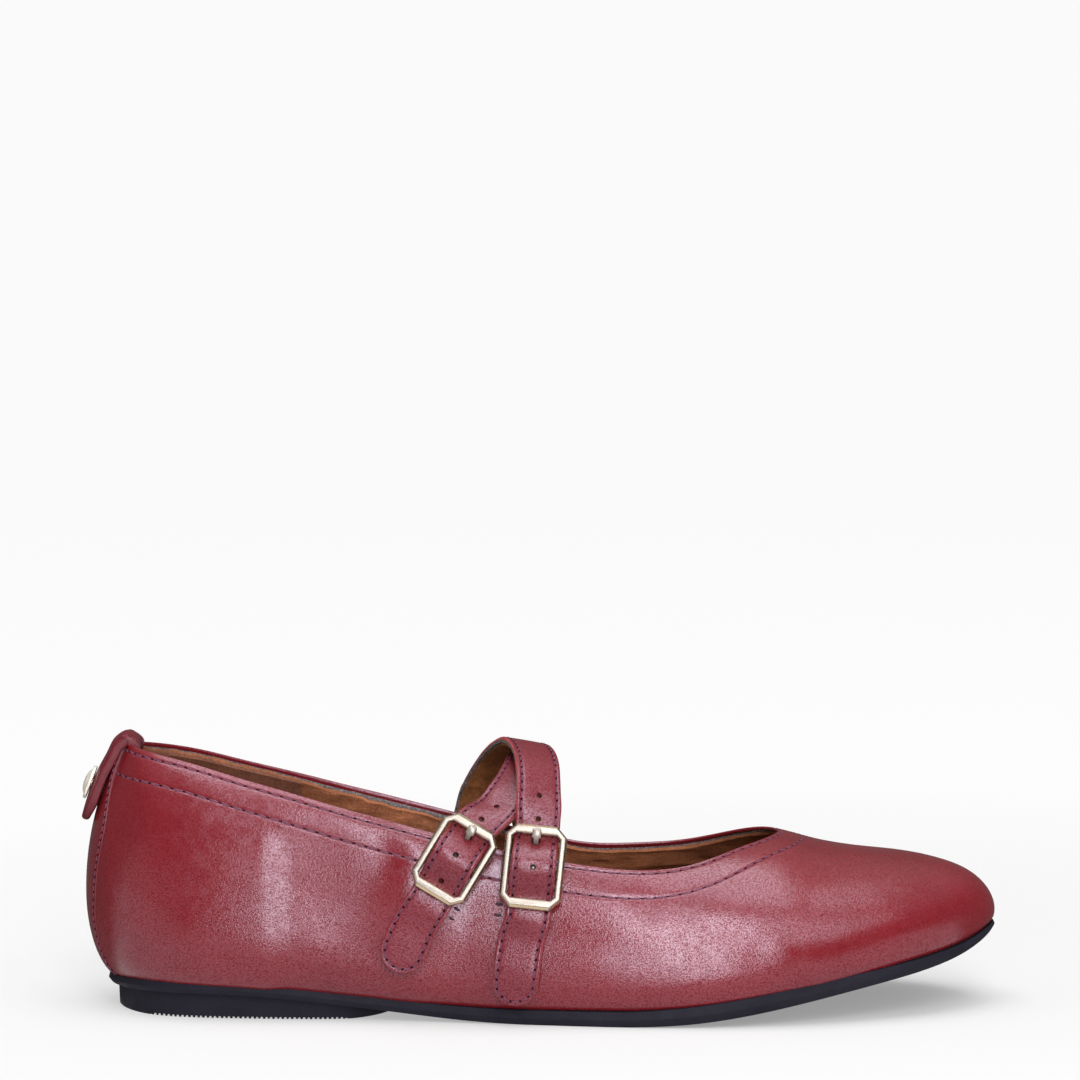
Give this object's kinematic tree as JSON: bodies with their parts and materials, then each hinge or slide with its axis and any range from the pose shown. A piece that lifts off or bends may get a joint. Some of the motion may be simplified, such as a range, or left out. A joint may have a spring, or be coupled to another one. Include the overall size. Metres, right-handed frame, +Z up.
{
  "type": "double-strap mary jane ballet flat, right shoe",
  "caption": "Women's leather ballet flat for the right foot, almond toe, thin rubber sole with low heel lift, two crossing buckled instep straps and a heel pull tab.",
  "frame": {"origin": "on the floor under the middle of the shoe's bounding box", "axes": "+X from heel to toe, +Y towards the inner side of the right foot, -Y towards the buckles, +Z up"},
  "size_m": [0.2506, 0.0842, 0.0748],
  "materials": {
    "leather": "burgundy red, fine grain, soft sheen",
    "lining": "brown, matt, lightly creased",
    "sole_rubber": "blue-black, matt",
    "pale_gold": "polished pale gold plating"
  },
  "bodies": {
    "root": {"upper": "leather", "outsole": "sole_rubber", "heel": "sole_rubber", "insole": "lining", "backstay": "leather", "heel_tab": "leather", "tab_stud": "pale_gold", "front_strap": "leather", "rear_strap": "leather", "front_buckle": "pale_gold", "rear_buckle": "pale_gold", "front_prong": "pale_gold", "rear_prong": "pale_gold", "front_anchor": "leather", "rear_anchor": "leather"}
  },
  "joints": []
}
